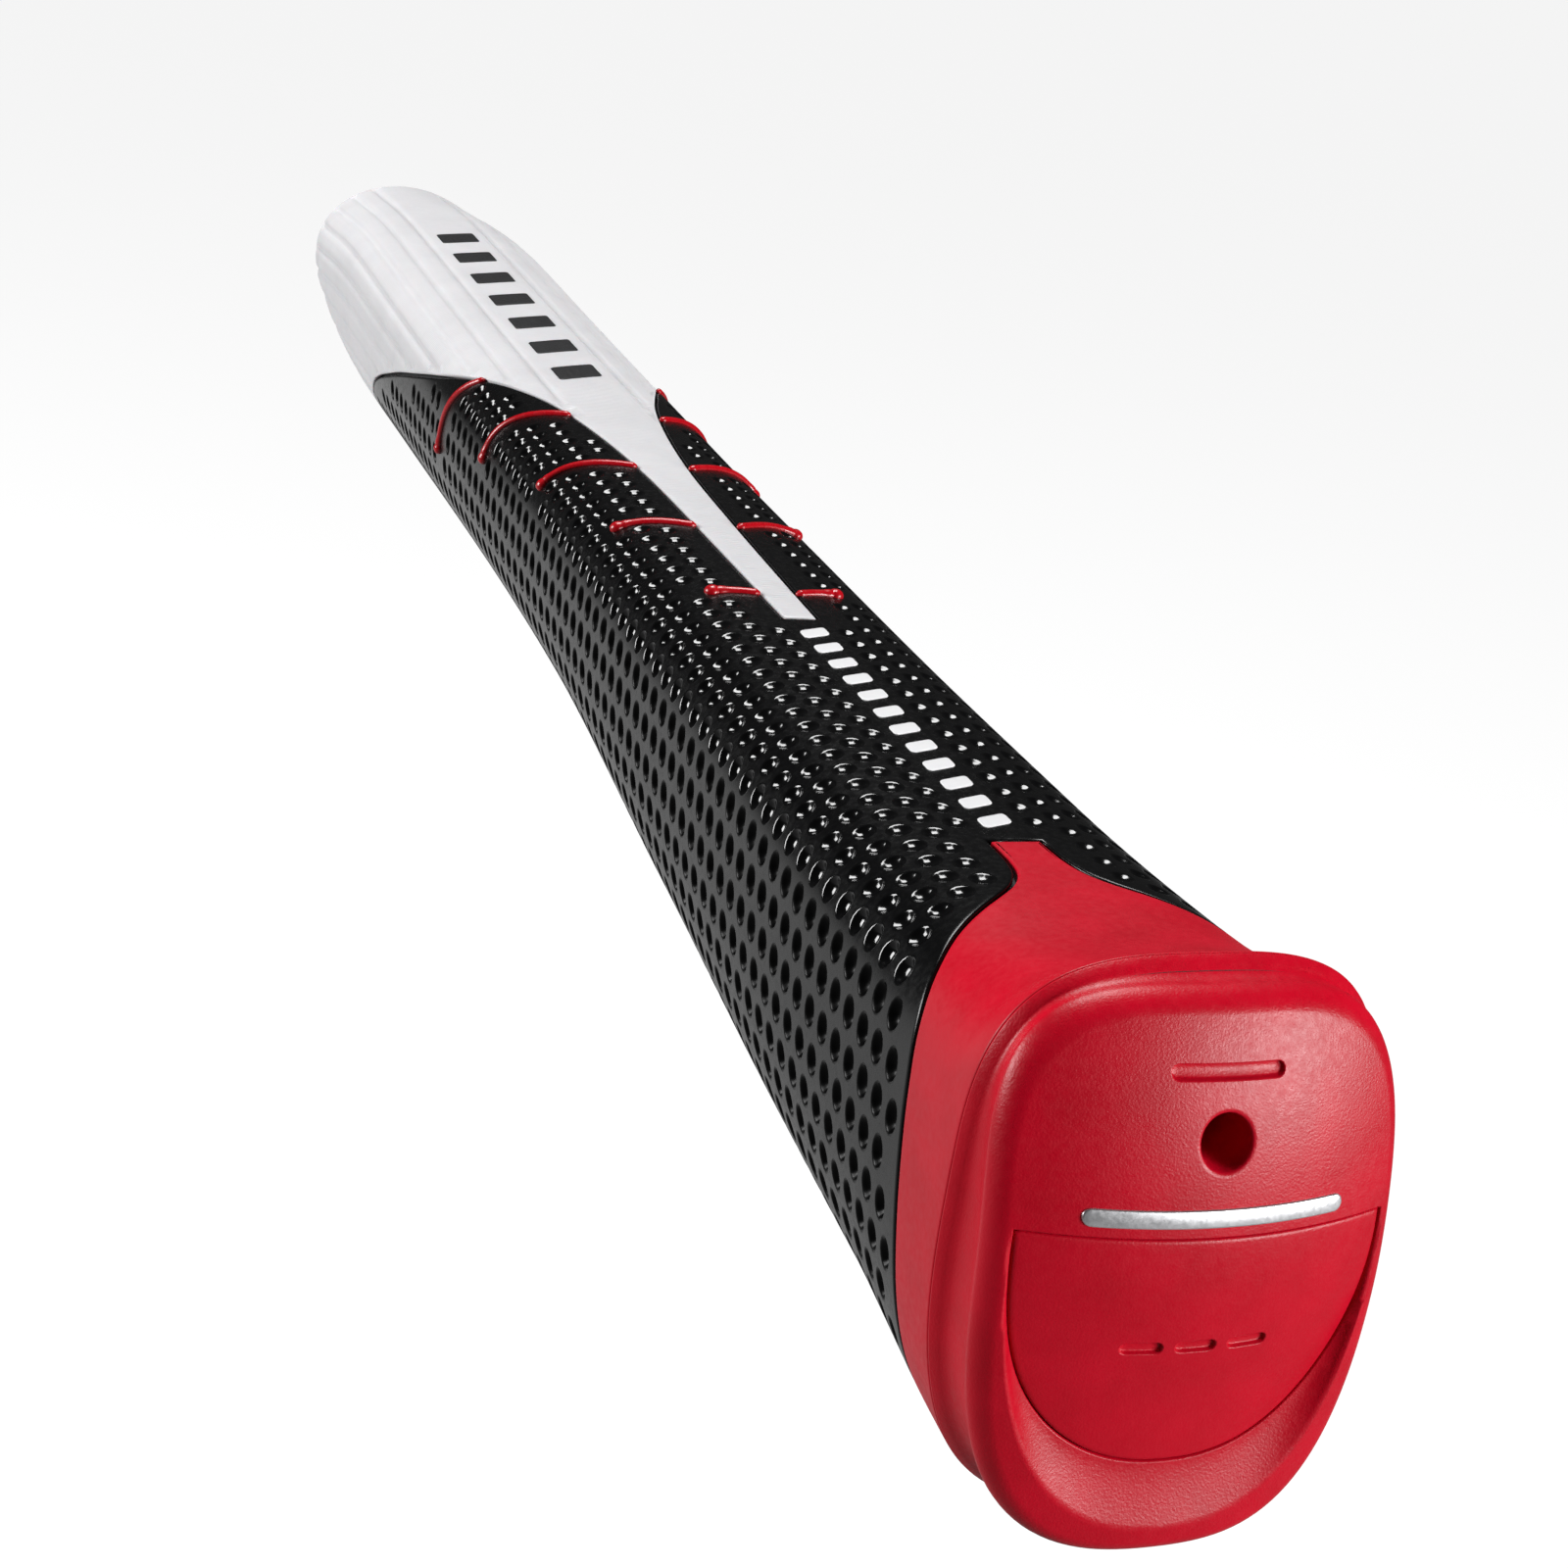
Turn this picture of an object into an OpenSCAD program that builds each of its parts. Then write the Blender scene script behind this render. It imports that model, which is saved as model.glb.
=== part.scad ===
// Putter grip with a flat top and a deep, tapering underside.
// Frame: the origin is on the shaft bore's axis, at the stop that the shaft's end meets.
// +Y runs along the bore towards the mouth, +Z points out of the flat top,
// and +X is to the right seen from the butt end.

/* [Shaft bore] */
// Bore radius, for a 0.580 inch shaft
bore_r = 7.37; // [7.0:0.01:7.6]
// Distance from the shaft stop to the mouth
body_length = 261; // [255:1:268]

/* [Skin] */
// Thickness of the wrapped skin
skin_t = 0.8; // [0.6:0.05:1]
// Width of the smooth strip along the middle of the top
strip_w = 3.4; // [2.4:0.1:4]
// How far the underside seam stands proud of the skin
seam_proud = 0.15; // [0:0.05:0.3]

/* [Butt cap] */
// Distance from the shaft stop to the front of the face
cap_depth = 7.8; // [7:0.1:8.4]
// Vent hole radius
vent_r = 1.7; // [1:0.1:2]
// Height of the vent hole above the bore's axis
vent_z = 5.6; // [4.6:0.1:5.6]
// Half width of the size plate
plate_w = 12.5; // [11:0.1:12.6]
// Depth of the size plate's pocket
plate_t = 1.2; // [0.8:0.1:1.6]
// Gap between the size plate and its pocket
plate_gap = 0.1; // [0.05:0.01:0.2]

/* [Ribs] */
// Spacing of the ribs along the grip
rib_pitch = 18.5; // [16:0.5:19]
// Distance from the shaft stop to the first rib
rib_start = 80; // [78:1:82]
// Radius of a rib
rib_r = 0.45; // [0.3:0.05:0.6]

/* [Marks] */
// Number of bars in the row on the smooth strip
strip_bars = 12; // [8:1:12]
// Number of bars on the lower section
lower_bars = 7; // [5:1:7]
// Thickness of a printed bar
print_t = 0.1; // [0.05:0.01:0.2]

/* [Hidden] */

RIBS = 5;
EPS = 0.01;

// Where the mouth ring meets the underlisting
ring_y = body_length - 4;

// Half width, top height and underside depth of the body, against distance from the stop
HALF_WIDTH = [[0, 14.15], [1, 14.1], [13, 13.5], [38, 12.9], [73, 12.4], [113, 12.4], [153, 13], [188, 13.4],
              [215, 13.8], [236, 14], [251, 13.4], [body_length, 11.8]];
TOP = [[0, 14.8], [1, 14.7], [4, 12.7], [13, 10.8], [38, 9.3], [73, 9.1], [113, 9.3], [153, 9.5],
       [188, 9.9], [215, 10.3], [236, 10.5], [251, 10.1], [body_length, 9.6]];
UNDER = [[0, 25.3], [13, 25.4], [38, 24.4], [73, 21], [113, 16], [153, 14.6], [188, 14.9],
         [215, 15], [236, 14.2], [251, 12.5], [body_length, 10.5]];
// How square the section is: 2 is an ellipse, and more is squarer
TOP_POWER = [[0, 3.2], [18, 3], [218, 3], [251, 2], [body_length, 2]];
UNDER_POWER = [[0, 2.7], [4, 2.7], [22, 2.4], [218, 2.4], [251, 2], [body_length, 2]];

// Edges of the skins, against the angle from the top
strip_a = atan(strip_w / 2 / 9.3);
tongue_end = 27.5;
WHITE_EDGE = [[strip_a, 76], [strip_a + 1.2, 92], [strip_a + 3, 105], [18, 121], [25, 132], [33, 141],
              [42, 150], [52, 159], [64, 173], [83, 191], [104, 204], [140, 212], [180, 215]];
seam_a = 5;

// Ridge where the skirt ends and the cap's concave wall begins
ridge_y = 1;

// Columns of the skins, as angles from the top, once round
HALF_ANGLES = [strip_a / 2, strip_a - 0.4, strip_a, strip_a + 0.6, strip_a + 1.8, strip_a + 3.5, 17, 21,
               26, 32, 39, 47, 56, 66, 78, 90, 104, 118, 132, 146, 160, 180 - seam_a, 180 - seam_a + 0.2];
ANGLES = concat([0], HALF_ANGLES, [180], [for (i = [len(HALF_ANGLES) - 1:-1:0]) 360 - HALF_ANGLES[i]]);

// Smooth curve through a table of [place, value] pairs, with no overshoot
function slope(t, i) = (t[i + 1][1] - t[i][1]) / (t[i + 1][0] - t[i][0]);
function mean_slope(a, b) = a * b <= 0 ? 0 : 2 * a * b / (a + b);
function tangent(t, i) =
  i == 0 ? slope(t, 0) :
  i == len(t) - 1 ? slope(t, i - 1) : mean_slope(slope(t, i - 1), slope(t, i));
function span(t, x, i = 0) = i >= len(t) - 2 || x <= t[i + 1][0] ? i : span(t, x, i + 1);
function blend(a, b, ta, tb, s) =
  a * (1 + 2 * s) * (1 - s) * (1 - s) + ta * s * (1 - s) * (1 - s)
  + b * s * s * (3 - 2 * s) + tb * s * s * (s - 1);
function smooth(t, x) =
  let (i = span(t, x), h = t[i + 1][0] - t[i][0], s = min(1, max(0, (x - t[i][0]) / h)))
  blend(t[i][1], t[i + 1][1], h * tangent(t, i), h * tangent(t, i + 1), s);

// Distance from the bore's axis to a squared ellipse, at angle a from the top
function reach(w, h, n, a) = pow(pow(abs(sin(a)) / w, n) + pow(abs(cos(a)) / h, n), -1 / n);
function body_reach(y, a, d) =
  cos(a) >= 0
  ? reach(smooth(HALF_WIDTH, y) - d, smooth(TOP, y) - d, smooth(TOP_POWER, y), a)
  : reach(smooth(HALF_WIDTH, y) - d, smooth(UNDER, y) - d, smooth(UNDER_POWER, y), a);
function around(y, a, r) = [r * sin(a), y, r * cos(a)];

// Point on the body, at depth d below its outer surface
function skin_point(y, a, d) = around(y, a, body_reach(y, a, d));

// Rear edge of the cap's skirt: low on the underside, and drawn out into a tongue on the top
function side_edge(a) = 7 + 3.6 * pow((180 - a) / 114, 1.6);
function tongue_edge(a) = 10.6 + 0.19 * (66 - a) + 3.2 / (a - strip_a + 0.95);
function skirt_edge(a) = a > 66 ? side_edge(a) : a < strip_a ? tongue_end : min(tongue_end, tongue_edge(a));
function white_edge(a) = a < strip_a ? WHITE_EDGE[0][1] - 2 : smooth(WHITE_EDGE, a);

// Closed solid from rings of points, which all have the same number
module loft(rings) {
  n = len(rings[0]);
  m = len(rings);
  sides = [for (i = [0:m - 2], j = [0:n - 1]) each [
    [i * n + j, (i + 1) * n + j, (i + 1) * n + (j + 1) % n],
    [i * n + j, (i + 1) * n + (j + 1) % n, i * n + (j + 1) % n]
  ]];
  start = [[for (j = [0:n - 1]) j]];
  end = [[for (j = [n - 1:-1:0]) (m - 1) * n + j]];
  polyhedron([for (r = rings) each r], concat(sides, start, end), convexity = 8);
}

// Tube of skin: at each angle it runs from from_y[k] to to_y[k], between depths d_out[k] and d_in.
// The angles go once round.
module tube(angles, from_y, to_y, d_out, d_in, rows) {
  n = len(angles);
  m = 2 * rows + 2;
  function row_y(k, i) = from_y[k] + (to_y[k] - from_y[k]) * i / rows;
  outer = [for (i = [0:rows]) [for (k = [0:n - 1]) skin_point(row_y(k, i), angles[k], d_out[k])]];
  inner = [for (i = [rows:-1:0]) [for (k = [0:n - 1]) skin_point(row_y(k, i), angles[k], d_in)]];
  polyhedron(
    [for (ring = concat(outer, inner)) each ring],
    [for (i = [0:m - 1], k = [0:n - 1]) let (u = (i + 1) % m, v = (k + 1) % n) each [
      [i * n + k, u * n + v, i * n + v],
      [i * n + k, u * n + k, u * n + v]
    ]],
    convexity = 8
  );
}

// Depth of a skin's outer face, which is lower under the seam
function groove(a) = a > 180 - seam_a + EPS && a < 180 + seam_a - EPS ? skin_t / 2 : 0;
function fold(a) = a > 180 ? 360 - a : a;

module bore(from, to) {
  translate([0, from, 0])
    rotate([-90, 0, 0])
      cylinder(h = to - from, r = bore_r, $fn = 64);
}

// The rings are closer together near the butt, where the top flares out
module underlisting() {
  steps = 22;
  sectors = 36;
  color([0.16, 0.16, 0.17])
    difference() {
      loft([for (i = [0:steps]) [for (j = [0:sectors - 1])
        skin_point(ring_y * pow(i / steps, 1.5), j * 360 / sectors, skin_t)]]);
      bore(-1, ring_y + 1);
    }
}

// Rounded collar at the mouth, which holds the ends of the skins
module mouth_ring() {
  sectors = 36;
  rounding = [[0, 0], [1.2, 0.25], [2.4, 0.7], [3.4, 1.2], [4, 1.7]];
  color([0.93, 0.93, 0.94])
    difference() {
      loft([for (step = rounding) [for (j = [0:sectors - 1])
        skin_point(ring_y + step[0], j * 360 / sectors, step[1])]]);
      bore(ring_y - 1, body_length + 1);
    }
}

module black_skin() {
  color([0.08, 0.08, 0.09])
    tube(
      ANGLES,
      [for (a = ANGLES) skirt_edge(fold(a))],
      [for (a = ANGLES) white_edge(fold(a))],
      [for (a = ANGLES) groove(a)],
      skin_t, 14
    );
}

module white_skin() {
  color([0.93, 0.93, 0.94])
    tube(
      ANGLES,
      [for (a = ANGLES) white_edge(fold(a))],
      [for (a = ANGLES) ring_y],
      [for (a = ANGLES) groove(a)],
      skin_t, 12
    );
}

// Strip that covers the underside seam, laid in a groove of the skins
module back_seam() {
  steps = 28;
  from = side_edge(180);
  function row_y(i) = from + (ring_y - from) * i / steps;
  angles = [for (k = [-2:2]) 180 + k * (seam_a - 0.2) / 2];
  color([0.1, 0.1, 0.11])
    loft([for (i = [0:steps]) let (y = row_y(i)) concat(
      [for (a = angles) skin_point(y, a, abs(a - 180) > seam_a / 2 ? 0 : -seam_proud)],
      [for (k = [4:-1:0]) skin_point(y, angles[k], skin_t / 2)]
    )]);
}

// Skirt of the cap, with a tongue that runs up the middle of the top
module cap_skirt() {
  color([0.78, 0.06, 0.14])
    tube(
      ANGLES,
      [for (a = ANGLES) ridge_y],
      [for (a = ANGLES) skirt_edge(fold(a))],
      [for (a = ANGLES) 0],
      skin_t, 5
    );
}

// Front of the face: nearly flat low down, and falling back towards the top and the sides.
// It leans, so that its foot stands out furthest.
face_lean = 0.08;
function face_y(x, z) =
  -cap_depth + face_lean * z + 0.014 * x * x + (z > -6 ? 0.0105 : 0.003) * (z + 6) * (z + 6);

// Outline of the face: flat-topped, over a deep rounded bowl
rim_w = 13.85;
rim_top = 13.8;
rim_under = 22.3;
function rim_reach(a) = cos(a) >= 0 ? reach(rim_w, rim_top, 3.4, a) : reach(rim_w, rim_under, 3.2, a);
function rim_point(a, k) = around(0, a, k * rim_reach(a));
function on_face(p, sink) = [p[0], face_y(p[0], p[2]) + sink, p[2]];

// The whole cap's end: a lip round the underlisting, a concave wall from the skirt's ridge
// to the rim, and the domed face.
module cap_end() {
  sectors = 48;
  wall = [[0, skin_t], [ridge_y, skin_t], [ridge_y, 0], [ridge_y - 0.7, 0.55]];
  face = [[1, 1.1], [0.985, 0.5], [0.95, 0.1], [0.85, 0], [0.7, 0], [0.5, 0], [0.3, 0], [0.12, 0]];
  loft(concat(
    [for (w = wall) [for (j = [0:sectors - 1])
      let (p = skin_point(ridge_y, j * 360 / sectors, w[1])) [p[0], w[0], p[2]]]],
    [for (f = face) [for (j = [0:sectors - 1])
      let (p = on_face(rim_point(j * 360 / sectors, f[0]), f[1])) [p[0], min(-0.4, p[1]), p[2]]]]
  ));
}

// Outline of the size plate: a straight top edge over a deep round bowl
module plate_outline(gap) {
  top = 0;
  depth = 16.2;
  square = 0.84;
  steps = 16;
  polygon([for (i = [0:steps]) let (a = 180 + 180 * i / steps)
    [(plate_w - gap) * sign(cos(a)) * pow(abs(cos(a)), square),
     top - gap + (depth - 2 * gap) * sign(sin(a)) * pow(abs(sin(a)), square)]]);
}

module plate_prism(gap, from, to) {
  translate([0, to, 0])
    rotate([90, 0, 0])
      linear_extrude(to - from)
        plate_outline(gap);
}

module cap_face() {
  color([0.78, 0.06, 0.14])
    difference() {
      cap_end();
      plate_prism(0, -cap_depth - 1, -cap_depth + plate_t + 2);
      translate([0, -cap_depth - 1, vent_z])
        rotate([-90, 0, 0])
          cylinder(h = cap_depth + 2, r = vent_r, $fn = 48);
    }
}

module size_plate() {
  color([0.8, 0.05, 0.13])
    intersection() {
      translate([0, 0.25, 0])
        cap_end();
      plate_prism(plate_gap, -cap_depth - 1, -cap_depth + plate_t + 2);
    }
}

// Plain bar that stands in for a raised badge above the size plate
module cap_badge_bar() {
  half = 8.8;
  height = 1.1;
  proud = 0.15;
  root = 0.35;
  middle_z = 1.25;
  steps = 12;
  color([0.85, 0.86, 0.88])
    loft([for (i = [0:steps]) let (x = half * (2 * i / steps - 1)) [
      for (c = [[root, -height / 2], [root, height / 2], [-proud, height / 2], [-proud, -height / 2]])
        [x, face_y(x, middle_z) + c[0], middle_z + c[1]]]]);
}

// Slanted bar lying on the top of the body
module top_bar(y, x, w, l, slant) {
  z = body_reach(y, 0, 0);
  rise = atan((body_reach(y + l / 2, 0, 0) - body_reach(y - l / 2, 0, 0)) / l);
  translate([x, y, z])
    rotate([rise, 0, 0])
      linear_extrude(print_t)
        polygon([[-w / 2, -l / 2 - slant], [w / 2, -l / 2 + slant], [w / 2, l / 2 + slant], [-w / 2, l / 2 - slant]]);
}

module strip_bars() {
  pitch = (WHITE_EDGE[0][1] - tongue_end - 6) / strip_bars;
  color([0.93, 0.93, 0.94])
    for (i = [0:strip_bars - 1])
      top_bar(tongue_end + 2 + (i + 0.5) * pitch, 0, strip_w - 0.8, pitch * 0.5, 0.5);
}

module lower_bars() {
  pitch = 11;
  first = 153;
  color([0.08, 0.08, 0.09])
    for (i = [0:lower_bars - 1])
      top_bar(first + i * pitch, 0, 5.6, pitch * 0.45, 1.4);
}

// Rib: leaves the white edge, curves over the corner, and ends in a rounded bulb.
// n counts from the butt end, and side is -1 for left or 1 for right.
module rib(n, side) {
  ends = [37, 52, 66, 82, 104];
  leans = [1, 2.5, 3.5, 5, 7];
  steps = 10;
  corners = 8;
  y = rib_start + (n - 1) * rib_pitch;
  start = [for (a = [strip_a:0.5:90]) if (white_edge(a) > y) a][0] + 1;
  end = ends[n - 1];
  ring_size = [for (i = [0:steps]) rib_r * (i == 0 ? 0.5 : i == steps ? 0.6 : i == steps - 1 ? 1.7 : 1)];
  color([0.75, 0.05, 0.1])
    loft([for (i = [0:steps]) let (
        a = start + (end - start) * i / steps,
        p = skin_point(y + leans[n - 1] * sin(90 * i / steps), a, -rib_r * 0.4),
        q = skin_point(y, a + 0.5, 0) - skin_point(y, a - 0.5, 0),
        out = [-q[2], 0, q[0]] / norm(q)
      ) [for (j = [0:corners - 1]) let (
        b = side * j * 360 / corners,
        s = p + ring_size[i] * (cos(b) * [0, 1, 0] + 0.4 * sin(b) * out)
      ) [side * s[0], s[1], s[2]]]]);
}

underlisting();
mouth_ring();
black_skin();
white_skin();
back_seam();
cap_skirt();
cap_face();
size_plate();
cap_badge_bar();
strip_bars();
lower_bars();
for (n = [1:RIBS]) {
  rib(n, -1);
  rib(n, 1);
}
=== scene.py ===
"""Looks of the flat-topped putter grip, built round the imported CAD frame."""

import math

import bmesh
import bpy
import numpy as np
from mathutils import Matrix, Vector
from mathutils.geometry import delaunay_2d_cdt
from mathutils.kdtree import KDTree


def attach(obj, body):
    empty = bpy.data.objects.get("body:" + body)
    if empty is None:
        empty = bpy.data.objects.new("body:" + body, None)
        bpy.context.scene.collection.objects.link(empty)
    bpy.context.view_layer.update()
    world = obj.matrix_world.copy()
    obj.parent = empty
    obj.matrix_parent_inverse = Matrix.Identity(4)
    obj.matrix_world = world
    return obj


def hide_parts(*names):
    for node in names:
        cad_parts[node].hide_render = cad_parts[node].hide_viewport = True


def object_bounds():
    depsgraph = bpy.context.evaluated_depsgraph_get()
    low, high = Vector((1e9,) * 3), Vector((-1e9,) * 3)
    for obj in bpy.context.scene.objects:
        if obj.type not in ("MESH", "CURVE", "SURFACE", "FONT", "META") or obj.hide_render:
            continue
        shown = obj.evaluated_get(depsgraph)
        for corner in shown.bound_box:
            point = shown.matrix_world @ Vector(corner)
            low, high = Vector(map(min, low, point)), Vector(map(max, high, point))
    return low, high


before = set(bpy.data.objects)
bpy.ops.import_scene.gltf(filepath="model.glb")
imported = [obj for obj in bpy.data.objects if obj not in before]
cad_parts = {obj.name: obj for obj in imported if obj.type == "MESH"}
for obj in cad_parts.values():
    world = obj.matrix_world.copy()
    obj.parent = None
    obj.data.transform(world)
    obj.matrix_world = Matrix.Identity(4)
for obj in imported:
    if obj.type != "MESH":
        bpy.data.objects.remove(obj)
CAD_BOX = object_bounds()

MM = 0.001
BODY = "root"

# ---------------------------------------------------------------- sizes, in millimetres
# +Y runs along the bore from the shaft stop to the mouth, +Z out of the flat top.
# s is the distance round the surface from the middle of the top, positive to the right.
BORE_R = 7.37
BODY_LENGTH = 261.0
RING_Y = 257.0
RIDGE_Y = 1.0
TONGUE_END = 27.5
SKIRT_END = 7.0
STRIPE_TIP = 74.0
SKIN_T = 0.8
SEAM_HALF = 1.7
GAP = 0.3

# Ribs, from the butt end: where they start, their spacing, the angles where they end, and how
# far each leans towards the mouth
RIB_START, RIB_PITCH = 80.0, 18.5
RIB_ENDS = [37, 52, 66, 82, 104]
RIB_LEANS = [1, 2.5, 3.5, 5, 7]

# Dimples: spacing along the grip, where they start and end along it and round it, how clear of
# the ribs they stay, points round one, and how deep one is when it counts as deep
PITCH = 2.82
DIMPLES_FROM, DIMPLES_TO = 8.5, 214
ROWS_FROM, ROWS_TO = 3.1, 64
RIB_CLEAR = 1.5
SIDES = 16
DEEP = 0.6
# Rings of a dimple: how far outside its edge, as a distance, and depth as a share of the whole
DIMPLE_RINGS = [(0.22, 0.0), (0.14, 0.015), (0.07, 0.07), (0.0, 0.18), (-0.1, 0.38), (-0.22, 0.6),
                (-0.36, 0.8), (-0.52, 0.94)]

# Grooves along the white skin
GROOVE_PITCH, GROOVE_WIDTH, GROOVE_DEPTH = 3.2, 0.38, 0.38

# Rows of printed bars: the first one's y, their spacing and number, and a bar's width, length
# and slant
STRIP_PITCH = (STRIPE_TIP + 2 - TONGUE_END - 6) / 12
STRIP_BARS = (TONGUE_END + 2 + STRIP_PITCH / 2, STRIP_PITCH, 12, 2.6, STRIP_PITCH * 0.5, 0.5)
LOWER_BARS = (153, 11, 7, 5.6, 4.95, 1.4)


def hermite(u, h, v0, v1, t0, t1):
    """Cubic between two values with their slopes, at share u of a step of length h."""
    return (v0 * (1 + 2 * u) * (1 - u) ** 2 + h * t0 * u * (1 - u) ** 2
            + v1 * u * u * (3 - 2 * u) + h * t1 * u * u * (u - 1))


class Curve:
    """Smooth curve through given [place, value] pairs, with no overshoot."""

    def __init__(self, pairs):
        self.x, self.v = np.array(pairs, float).T
        step = np.diff(self.x)
        slope = np.diff(self.v) / step
        inner = slope[:-1] * slope[1:]
        total = slope[:-1] + slope[1:]
        mean = np.where(inner > 0, 2 * inner / np.where(total == 0, 1, total), 0)
        self.t = np.concatenate([slope[:1], mean, slope[-1:]])

    def __call__(self, x):
        x = np.clip(x, self.x[0], self.x[-1])
        i = np.clip(np.searchsorted(self.x, x, side="right") - 1, 0, len(self.x) - 2)
        h = self.x[i + 1] - self.x[i]
        u = (x - self.x[i]) / h
        return hermite(u, h, self.v[i], self.v[i + 1], self.t[i], self.t[i + 1])


HALF_WIDTH = Curve([[0, 14.15], [1, 14.1], [13, 13.5], [38, 12.9], [73, 12.4], [113, 12.4],
                    [153, 13], [188, 13.4], [215, 13.8], [236, 14], [251, 13.4], [BODY_LENGTH, 11.8]])
TOP = Curve([[0, 14.8], [1, 14.7], [4, 12.7], [13, 10.8], [38, 9.3], [73, 9.1], [113, 9.3], [153, 9.5],
             [188, 9.9], [215, 10.3], [236, 10.5], [251, 10.1], [BODY_LENGTH, 9.6]])
UNDER = Curve([[0, 25.3], [13, 25.4], [38, 24.4], [73, 21], [113, 16], [153, 14.6], [188, 14.9],
               [215, 15], [236, 14.2], [251, 12.5], [BODY_LENGTH, 10.5]])
TOP_POWER = Curve([[0, 3.2], [18, 3], [218, 3], [251, 2], [BODY_LENGTH, 2]])
UNDER_POWER = Curve([[0, 2.7], [4, 2.7], [22, 2.4], [218, 2.4], [251, 2], [BODY_LENGTH, 2]])


def squared_ellipse(w, h, n, a):
    """Distance from the centre to a squared ellipse, at angle a from the top."""
    return ((np.abs(np.sin(a)) / w) ** n + (np.abs(np.cos(a)) / h) ** n) ** (-1 / n)


def body_reach(y, a, depth=0.0):
    """Distance from the bore's axis to the body's surface."""
    w = HALF_WIDTH(y) - depth
    upper = squared_ellipse(w, TOP(y) - depth, TOP_POWER(y), a)
    lower = squared_ellipse(w, UNDER(y) - depth, UNDER_POWER(y), a)
    return np.where(np.cos(a) >= 0, upper, lower)


class Unrolled:
    """Turns places on the flat sheet, s and y, into angles round the bore's axis."""

    Y_LOW = -2.0
    Y_STEP = 1.0
    S_STEP = 0.1

    def __init__(self):
        ys = np.arange(self.Y_LOW, BODY_LENGTH + 4, self.Y_STEP)
        angles = np.radians(np.arange(0, 240.01, 0.25))
        r = body_reach(ys[:, None], angles[None, :])
        x, z = r * np.sin(angles), r * np.cos(angles)
        steps = np.hypot(np.diff(x, axis=1), np.diff(z, axis=1))
        self.length = np.concatenate([np.zeros((len(ys), 1)), np.cumsum(steps, axis=1)], axis=1)
        self.half = np.array([np.interp(math.pi, angles, row) for row in self.length])
        self.ys = ys
        self.angles = angles
        places = np.arange(0, 70, self.S_STEP)
        self.angle = np.array([np.interp(places, row, angles) for row in self.length])

    def half_girth(self, y):
        return np.interp(y, self.ys, self.half)

    def to_angle(self, s, y):
        fy = np.clip((y - self.Y_LOW) / self.Y_STEP, 0, len(self.ys) - 1.001)
        fs = np.clip(np.abs(s) / self.S_STEP, 0, self.angle.shape[1] - 1.001)
        i, k = fy.astype(int), fs.astype(int)
        u, v = fy - i, fs - k
        a = self.angle
        low = a[i, k] * (1 - v) + a[i, k + 1] * v
        high = a[i + 1, k] * (1 - v) + a[i + 1, k + 1] * v
        return np.sign(s) * (low * (1 - u) + high * u)


SHEET = Unrolled()


def around(a, r, y):
    """Points at angle a and distance r from the bore's axis, in millimetres."""
    a, r, y = np.broadcast_arrays(a, r, y)
    return np.stack([r * np.sin(a), y, r * np.cos(a)], axis=-1)


def surface_normal(s, y):
    """Outward normals, from small steps in angle and along the grip."""
    a = SHEET.to_angle(s, y)

    def at(a, y):
        return around(a, body_reach(y, a), y)

    across = at(a + 0.004, y) - at(a - 0.004, y)
    along = at(a, y + 0.1) - at(a, y - 0.1)
    n = np.cross(across, along)
    return n / np.linalg.norm(n, axis=-1, keepdims=True)


def place(s, y, depth):
    """Points at the given depth under the body's surface, in millimetres."""
    s, y, depth = [np.asarray(v, float) for v in np.broadcast_arrays(s, y, depth)]
    a = SHEET.to_angle(s, y)
    return around(a, body_reach(y, a), y) - surface_normal(s, y) * depth[..., None]


def on_sheet(flat, depth):
    """Points at the given depth, from places on the sheet."""
    return place(flat[:, 0], flat[:, 1], depth)


# ---------------------------------------------------------------- outlines on the sheet
# Right half of the skirt's rear edge, from the tongue round to the underside, as s and y
SKIRT_EDGE = [(1.85, TONGUE_END), (2.0, 24.0), (2.5, 21.6), (3.7, 19.6), (5.4, 18.0), (7.2, 16.6),
              (9.8, 14.6), (12.4, 12.5), (15.2, 10.8), (18.5, 9.8), (22, 9.3), (26.5, 8.5),
              (31, 7.8), (38, 7.3), (47, SKIRT_END), (54, SKIRT_END)]
# Right half of the white skin's edge, from the stripe's tip round to the underside
WHITE_EDGE = [(1.5, STRIPE_TIP), (1.7, 86), (2.0, 100), (2.6, 116), (3.9, 129), (5.8, 140),
              (8.2, 148), (10.9, 155.5), (13.8, 164), (16.8, 174.5), (21.2, 190), (26.2, 203),
              (33, 211), (41, 215)]


def run_along(line):
    """Distance run along a line up to each of its points."""
    return np.concatenate([[0], np.cumsum(np.hypot(*np.diff(line, axis=0).T))])


def evenly(line, step):
    """Points at even steps along a line, with both ends."""
    run = run_along(line)
    places = np.linspace(0, run[-1], max(2, int(run[-1] / step) + 1))
    return np.stack([np.interp(places, run, line[:, 0]), np.interp(places, run, line[:, 1])], axis=1)


def even_loop(loop, step):
    """Points at even steps round a closed loop."""
    return evenly(np.vstack([loop, loop[:1]]), step)[:-1]


def through(points, step):
    """Even steps along a smooth curve through the points."""
    p = np.array(points, float)
    gaps = np.sqrt(np.hypot(*np.diff(p, axis=0).T))
    t = np.concatenate([[0], np.cumsum(gaps)])
    fine = np.linspace(0, t[-1], 40 * len(p))
    slopes = np.gradient(p, t, axis=0)
    i = np.clip(np.searchsorted(t, fine, side="right") - 1, 0, len(t) - 2)
    h = (t[i + 1] - t[i])[:, None]
    u = (fine - t[i])[:, None] / h
    return evenly(hermite(u, h, p[i], p[i + 1], slopes[i], slopes[i + 1]), step)


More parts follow.
